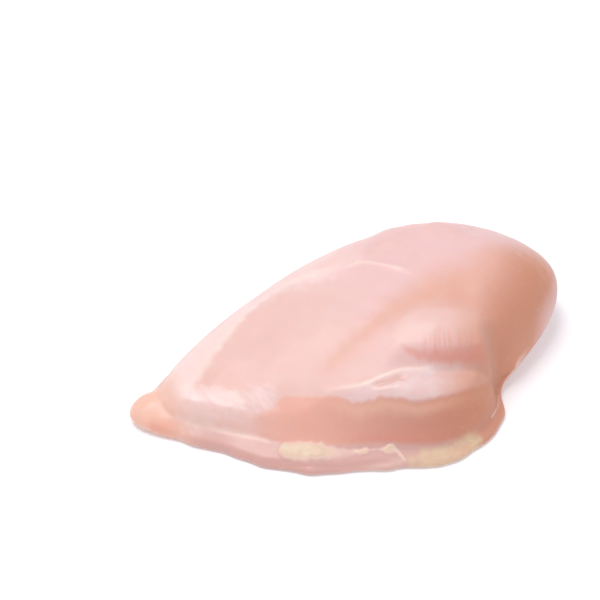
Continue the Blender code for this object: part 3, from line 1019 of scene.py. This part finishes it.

# %% [markdown]
# ## The finish of raw flesh
# Raw chicken is pale, slightly see-through and wet. The light goes in, spreads and comes out warmer,
# which is subsurface scattering; the water on it is a clear coat. The colour is a chain of thin veils
# over pink: peach where the flesh is thick and bare, red in the step, silver on the film, cream in the
# fat. Some veils are painted light: sheen and highlights at the tail, on the films and on edges, glints
# on small nicks, and shade on the brown side, the wall, the knob and the fold under the fat. Every
# border is broken up by noise at its own scale, since an even border would look painted.

# %% The palette
PINK = (0.78, 0.51, 0.465, 1)
PALE_PINK = (0.805, 0.57, 0.515, 1)
COOL_PINK = (0.78, 0.52, 0.515, 1)
PEACH = (0.72, 0.38, 0.28, 1)
SHADED_TAN = (0.61, 0.26, 0.152, 1)
RED = (0.76, 0.29, 0.215, 1)
WALL_LIT_PEACH = (0.8, 0.43, 0.34, 1)
WALL_SHADED_BROWN = (0.56, 0.235, 0.155, 1)
WALL_BROW_HIGHLIGHT = (0.82, 0.50, 0.37, 1)
STRIP = (0.64, 0.375, 0.335, 1)
KNOB = (0.84, 0.52, 0.40, 1)
SILVER = (0.76, 0.535, 0.51, 1)
FILM_BLUE = (0.83, 0.70, 0.71, 1)
SHEEN_WHITE = (0.93, 0.79, 0.795, 1)
WHITE_SKIN_AND_SHEEN = (0.92, 0.77, 0.745, 1)
LINE = (0.90, 0.71, 0.64, 1)
WHITE_FAT_AND_HIGHLIGHT = (0.82, 0.62, 0.53, 1)
CREAM = (0.71, 0.55, 0.405, 1)
YELLOW_FAT = (0.72, 0.55, 0.37, 1)
# The palest colour is that of the painted sheen, and the deepest is the wall's, partly painted shade.
print("The palest colour is the painted sheen's,", SHEEN_WHITE[:3], "and the deepest is the wall's,", WALL_SHADED_BROWN[:3])

# %% Noises that several veils share
flesh = Finish("raw_flesh", PINK)
place = flesh.node("ShaderNodeTexCoord", {}, {}, "Object")
fan = flesh.node("ShaderNodeAttribute", {"attribute_name": "fibre"}, {}, "Vector")
fibre = flesh.noise(flesh.stretch(fan, (0.1, 1.0, 1.0)), 0.5, 4, 0.6)
cloud = flesh.noise(place, 30, 3)
speck = flesh.noise(place, 260, 4, 0.6)
rag = (flesh.noise(place, 330, 3) - 0.5) * 0.7
right = flesh.step(flesh.node("ShaderNodeSeparateXYZ", {}, {"Vector": place}, "X"), -0.036, 0.024)
back = flesh.step(flesh.node("ShaderNodeSeparateXYZ", {}, {"Vector": place}, "Y"), 0.01, 0.04)
print("Nodes so far:", len(flesh.tree.nodes))

# %% Bare flesh
patchy = flesh.step(flesh.noise(place, 75, 4, 0.6), 0.45, 0.75)
flesh.veil(PALE_PINK, flesh.step(cloud, 0.3, 0.7) * 0.6)
flesh.veil(COOL_PINK, right * 0.8)
flesh.veil(PEACH, flesh.mask("peach") * flesh.step(cloud + 0.3 * fibre, 0.1, 0.8) * 0.85)
flesh.veil(PEACH, flesh.mask("crease") * 0.35)
flesh.veil(PALE_PINK, flesh.step(fibre, 0.5, 0.75) * (0.15 + 0.4 * back))
flesh.veil(PEACH, patchy * (0.12 + 0.25 * back))
print("Nodes so far:", len(flesh.tree.nodes))

# %% The side muscle's film and wall
blotch = flesh.step(flesh.noise(place, 150, 2), 0.45, 0.75)
# The patch above the step is thin film whose paleness is partly a painted highlight.
flesh.veil(PALE_PINK, flesh.step(flesh.mask("patch") + rag * 0.5, 0.1, 1.0) * 0.5)
flesh.veil(SILVER, flesh.step(flesh.mask("film") + rag * 0.25, 0.0, 1.0) * 0.7)
flesh.veil(FILM_BLUE, flesh.mask("film") * (0.35 + 0.5 * blotch) * right)
# The wall runs from a lit peach on the left to a shaded brown on the right: partly its own colour, partly
# painted shade.
wall = flesh.mix(WALL_LIT_PEACH, WALL_SHADED_BROWN, right)
wall = flesh.mix(wall, RED, flesh.mask("foot") * 0.5)
# A painted highlight along the wall's brow, under the film's lower edge.
wall = flesh.mix(wall, WALL_BROW_HIGHLIGHT, flesh.mask("brow") * 0.6)
flesh.veil(wall, flesh.mask("wall") * 0.9)
print("Nodes so far:", len(flesh.tree.nodes))

# %% The brown side with painted shade, the lip and the band
# The brown side is partly the flesh's own colour and partly painted shade where it turns away from the
# light; the lip there takes the same brown.
flesh.veil(SHADED_TAN, flesh.mask("brown") * 0.85)
# The pale lavender rim at the shoulder's edge is partly a painted reflection of the bright room.
flesh.veil(COOL_PINK, flesh.mask("rim") * 0.65)
lip = flesh.mix(STRIP, SHADED_TAN, flesh.step(flesh.mask("brown"), 0.2, 0.8) * 0.75)
flesh.veil(lip, flesh.mask("on_lip") * (1 - flesh.mask("knob")) * 0.85)
# The band's pale veil is thin skin, and partly a painted highlight where the keel edge faces the light.
flesh.veil(WHITE_SKIN_AND_SHEEN, flesh.mask("band") * 0.5)
# A painted sheen where the band's edge bulges.
flesh.veil(SHEEN_WHITE, flesh.mask("glaze") * 0.4)
flesh.veil(LINE, flesh.mask("band_line") * 0.6)
print("Nodes so far:", len(flesh.tree.nodes))

# %% The wrinkled veil at the tail, a painted sheen
folds = flesh.step(flesh.noise(flesh.stretch(fan, (1.0, 0.35, 1.0)), 0.42, 3), 0.46, 0.62)
# The tail's sheen is painted: a pale veil with pink wrinkles in it, on top of the coat's real gloss.
sheen = flesh.step(flesh.mask("tail_sheen") + rag * 1.3, 0.25, 0.75)
flesh.veil(SHEEN_WHITE, sheen * 0.3)
flesh.veil(COOL_PINK, sheen * folds * 0.6)
# Painted light: a paler veil low on the tail, where the wall faces away from the light.
flesh.veil(PALE_PINK, flesh.mask("low_tail_sheen") * 0.5)
# A painted highlight along the lip's edge under the fat.
flesh.veil(WHITE_FAT_AND_HIGHLIGHT, flesh.mask("lip_highlight") * 0.45)
print("Nodes so far:", len(flesh.tree.nodes))

# %% The step and the knob
flesh.veil(LINE, flesh.mask("ridge") * 0.6)
flesh.veil(PEACH, flesh.mask("valley") * 0.6)
flesh.veil(RED, flesh.step(flesh.mask("recess") + rag * 0.8, 0.2, 1.1) * 0.5)
flesh.veil(RED, flesh.mask("fringe") * 0.3)
flesh.veil(KNOB, flesh.mask("knob") * 0.85)
# Painted shade on the knob's lower side, where it turns away from the light.
flesh.veil(RED, flesh.mask("knob_shade") * flesh.mask("knob") * 0.4)
print("Nodes so far:", len(flesh.tree.nodes))

# %% Fat, yellow on the lip and cream at the wall
mottle = flesh.step(flesh.noise(place, 300, 3, 0.6), 0.35, 0.6)
lip_fat = flesh.step(flesh.mask("lip_fat") + rag * 0.5, 0.15, 0.8)
flesh.veil(YELLOW_FAT, lip_fat * (0.55 + 0.35 * mottle))
fat = flesh.mask("fat")
flesh.veil(WHITE_FAT_AND_HIGHLIGHT, flesh.step(fat + rag * 0.3, 0.1, 0.65) * 0.9)
flesh.veil(CREAM, flesh.step(fat + rag * 0.5, 0.4, 1.0))
print("Nodes so far:", len(flesh.tree.nodes))

# %% Fine lines and grain, and the colour is done
# Painted shade: a darker line of strip colour in the fold under the fat.
flesh.veil(STRIP, flesh.mask("fold") * 0.5)
flesh.veil(LINE, flesh.mask("lobe_edge") * 0.6)
# The seam's pale line is a painted highlight in the concave seam, and the nicks are painted glints.
lines = flesh.mask("seam") * 0.7 + flesh.mask("tendon") * 0.75
lines = lines + flesh.mask("end_line") * 0.8 + flesh.mask("nick") * 0.5
flesh.veil(LINE, flesh.step(lines + rag * 0.5, 0.3, 1.0) * 0.6)
flesh.veil(WHITE_FAT_AND_HIGHLIGHT, flesh.step(flesh.noise(place, 420, 4, 0.7), 0.55, 0.8) * 0.18)
flesh.set(Base_Color=flesh.colour)
print("Nodes so far:", len(flesh.tree.nodes))

# %% [markdown]
# ## Wet and slightly see-through
# The films are wetter than the bare flesh, so the coat is thickest there. Light travels farthest in
# red, about five times as far as in blue, which is what makes thin edges glow warm. The bump holds only
# what is finer than the mesh: fibres, specks and pores.

# %% Gloss, depth and pores
wet = flesh.mask("film") * 0.3 + flesh.mask("patch") * 0.1 + flesh.mask("tail_sheen") * 0.4
flesh.set(Roughness=0.38 + 0.2 * speck + 0.1 * fat + 0.15 * flesh.mask("brown"))
flesh.set(Coat_Weight=0.1 + wet + flesh.mask("on_lip") * 0.25, Coat_Roughness=0.2, IOR=1.37)
flesh.set(Subsurface_Weight=0.5, Subsurface_Radius=(1.0, 0.35, 0.2), Subsurface_Scale=0.005)
height = fibre * 0.5 + speck * 0.4 + flesh.noise(place, 700, 3) * 0.25
bump = {"Strength": 0.16, "Distance": 0.0004, "Height": height}
flesh.set(Normal=flesh.node("ShaderNodeBump", {}, bump))
print("The finish has", len(flesh.tree.nodes), "nodes")

# %% [markdown]
# ## Run the tree and keep the result
# The modifier's inputs are set by the sockets' identifiers, before the object is evaluated. The result
# becomes a plain mesh and the modifier goes, because a modifier that lives on would be worked out again
# by every tool.


# %% Apply the surface tree
def run_tree(obj, tree, values, rename):
    """Adds a tree to an object with these inputs, and turns the result into its plain mesh."""
    modifier = obj.modifiers.new("surface", "NODES")
    modifier.node_group = tree
    for item in tree.interface.items_tree:
        if item.in_out == "INPUT" and item.name in values:
            modifier[item.identifier] = values[item.name]
    bpy.context.view_layer.update()
    ready = obj.evaluated_get(bpy.context.evaluated_depsgraph_get())
    made = bpy.data.meshes.new_from_object(ready)
    obj.modifiers.remove(modifier)
    obj.data = made
    made.name = rename


run_tree(breast, surface_tree(flesh.material), SURFACE_INPUTS, "breast_flesh")
print("The finished mesh has", len(breast.data.vertices), "vertices")

# %% [markdown]
# ## Keep inside the part
# The grain can push a vertex a hair past the solid's box. Such vertices are held at the box, which is
# too little to see and keeps the size that other things are fitted to.

# %% Hold it inside the box
mesh = breast.data
co = np.empty(len(mesh.vertices) * 3)
mesh.vertices.foreach_get("co", co)
co = np.clip(co.reshape(-1, 3), np.array(LOW), np.array(HIGH))
mesh.vertices.foreach_set("co", co.ravel())
mesh.update()
mesh.shade_smooth()
print("The finished mesh spans", [round(float(side) * 1000, 1) for side in np.ptp(co, axis=0)], "mm")

# %% [markdown]
# ## Floor and light
# The floor is white, and a weak glow of its own lets it melt into the background, as paper does under
# studio light. One large soft light hangs high over the breast, a little behind it and to the left: its
# reflection lies as a broad veil on every surface that leans back, helped by painted sheen at the tail
# and on the films, and leaves the near wall in its warm colour, into which shade is painted towards the
# right. A weak light from the near side and the dim even world keep the shadows open.

# %% A floor of white paper
FLOOR_HALF = 3.0
PAPER, PAPER_SPOT = (0.90, 0.90, 0.93, 1), (0.92, 0.92, 0.95, 1)
PAPER_GLOW = 0.15

floor_bm = bmesh.new()
bmesh.ops.create_grid(floor_bm, x_segments=1, y_segments=1, size=FLOOR_HALF)
floor_mesh = bpy.data.meshes.new("floor")
floor_bm.to_mesh(floor_mesh)
floor_bm.free()
floor = put_in_scene("floor", floor_mesh)

paper = Finish("white_floor", PAPER)
paper.veil(PAPER_SPOT, paper.noise(paper.node("ShaderNodeTexCoord", {}, {}, "Object"), 60, 2))
paper.set(Base_Color=paper.colour, Roughness=0.7)
paper.set(Emission_Color=(1, 1, 1, 1), Emission_Strength=PAPER_GLOW)
floor_mesh.materials.append(paper.material)
print("The floor is", 2 * FLOOR_HALF, "m wide")


# %% Two soft lights
def soft_light(name, place, size, power):
    """A square soft light that shines from a place towards the breast."""
    light = put_in_scene(name, bpy.data.lights.new(name, "AREA"))
    light.data.size = size
    light.data.energy = power
    light.location = place
    light.rotation_euler = Vector(place).to_track_quat("Z", "Y").to_euler()
    return light


key = soft_light("key", (-0.16, 0.16, 0.83), 0.45, 4.2)
fill = soft_light("fill", (0.3, -0.8, 0.6), 0.8, 1)
print("The lights give", round(key.data.energy, 1), "W and", round(fill.data.energy, 1), "W")

# %% The world around
world = bpy.data.worlds.new("studio")
world.use_nodes = True
sky = world.node_tree.nodes["Background"].inputs
sky["Color"].default_value = (1.0, 0.99, 1.02, 1)
sky["Strength"].default_value = 0.6
bpy.context.scene.world = world
bpy.context.scene.view_settings.view_transform = "Standard"
print("The world gives", round(sky["Strength"].default_value, 2), "from all sides")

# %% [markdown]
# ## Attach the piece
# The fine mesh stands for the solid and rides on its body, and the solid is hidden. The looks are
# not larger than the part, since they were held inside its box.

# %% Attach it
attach(breast, "root")
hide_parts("breast")
